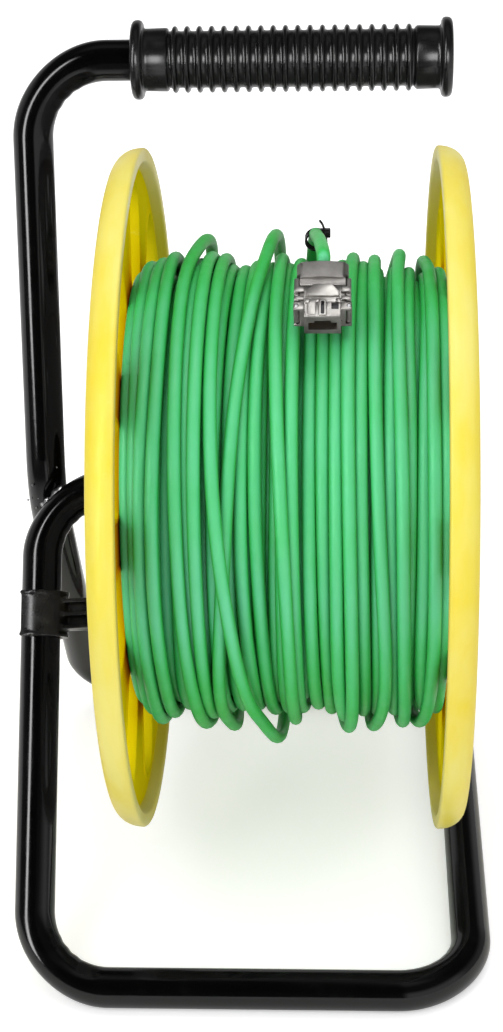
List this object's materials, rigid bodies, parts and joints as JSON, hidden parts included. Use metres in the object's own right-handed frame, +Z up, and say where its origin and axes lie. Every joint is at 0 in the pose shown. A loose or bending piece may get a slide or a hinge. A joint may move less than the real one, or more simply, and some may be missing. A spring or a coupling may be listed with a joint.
{
  "type": "network cable reel",
  "caption": "Open tube-frame reel: a flanged drum of network cable turns on the free end of a bent steel tube that also makes the floor loop, post and handle.",
  "frame": {"origin": "on the floor, under the middle of the whole reel's box", "axes": "+X along the drum's axle from the post side to the drum's free side, +Y from the working side to the back, +Z up"},
  "size_m": [0.2146, 0.3084, 0.3853],
  "materials": {
    "black_paint": "gloss black enamel on steel tube",
    "black_plastic": "semi-gloss moulded plastic",
    "yellow_plastic": "bright moulded plastic, lightly scuffed at the rims",
    "green_cable": "soft cable jacket with a low sheen",
    "nickel": "nickel-plated die casting",
    "steel": "zinc-plated steel",
    "grey_plastic": "contact carrier",
    "bush_plastic": "natural acetal"
  },
  "bodies": {
    "frame": {"frame_tube": "black_paint", "handle_grip": "black_plastic", "hub_bracket": "black_plastic", "axle_insert": "steel", "axle_washer": "steel", "axle_bolt": "steel"},
    "drum": {"drum_barrel": "yellow_plastic", "left_flange": "yellow_plastic", "right_flange": "yellow_plastic", "left_bush": "bush_plastic", "right_bush": "bush_plastic", "hub_cap": "black_plastic", "cable_winding": "green_cable", "outer_tail": "green_cable", "inner_lead": "green_cable", "left_flange_screw_1": "steel", "left_flange_screw_2": "steel", "left_flange_screw_3": "steel", "left_flange_screw_4": "steel", "left_flange_screw_5": "steel", "right_flange_screw_1": "steel", "right_flange_screw_2": "steel", "right_flange_screw_3": "steel", "right_flange_screw_4": "steel", "right_flange_screw_5": "steel", "outer_jack_housing": "nickel", "outer_jack_insert": "grey_plastic", "outer_jack_rear_cap": "nickel", "outer_jack_pin_left": "steel", "outer_jack_pin_right": "steel", "inner_jack_housing": "nickel", "inner_jack_insert": "grey_plastic", "inner_jack_rear_cap": "nickel", "inner_jack_pin_left": "steel", "inner_jack_pin_right": "steel"},
    "outer_jack_wing_left_body": {"outer_jack_wing_left": "nickel"},
    "outer_jack_wing_right_body": {"outer_jack_wing_right": "nickel"},
    "inner_jack_wing_left_body": {"inner_jack_wing_left": "nickel"},
    "inner_jack_wing_right_body": {"inner_jack_wing_right": "nickel"}
  },
  "joints": [
    {"name": "drum_spin", "type": "hinge", "parent": "frame", "child": "drum", "pos_m": [0.0165, 0, 0.185], "axis": [1, 0, 0], "continuous": true},
    {"name": "outer_wing_left_swing", "type": "hinge", "parent": "drum", "child": "outer_jack_wing_left_body", "pos_m": [0.0211, -0.04868, 0.29587], "axis": [0, -0.5299, 0.848], "range_deg": [0, 60]},
    {"name": "outer_wing_right_swing", "type": "hinge", "parent": "drum", "child": "outer_jack_wing_right_body", "pos_m": [0.0427, -0.04868, 0.29587], "axis": [0, 0.5299, -0.848], "range_deg": [0, 60]},
    {"name": "inner_wing_left_swing", "type": "hinge", "parent": "drum", "child": "inner_jack_wing_left_body", "pos_m": [0.0802, -0.0108, 0.227], "axis": [0, 0, 1], "range_deg": [0, 60]},
    {"name": "inner_wing_right_swing", "type": "hinge", "parent": "drum", "child": "inner_jack_wing_right_body", "pos_m": [0.0802, 0.0108, 0.227], "axis": [0, 0, -1], "range_deg": [0, 60]}
  ]
}
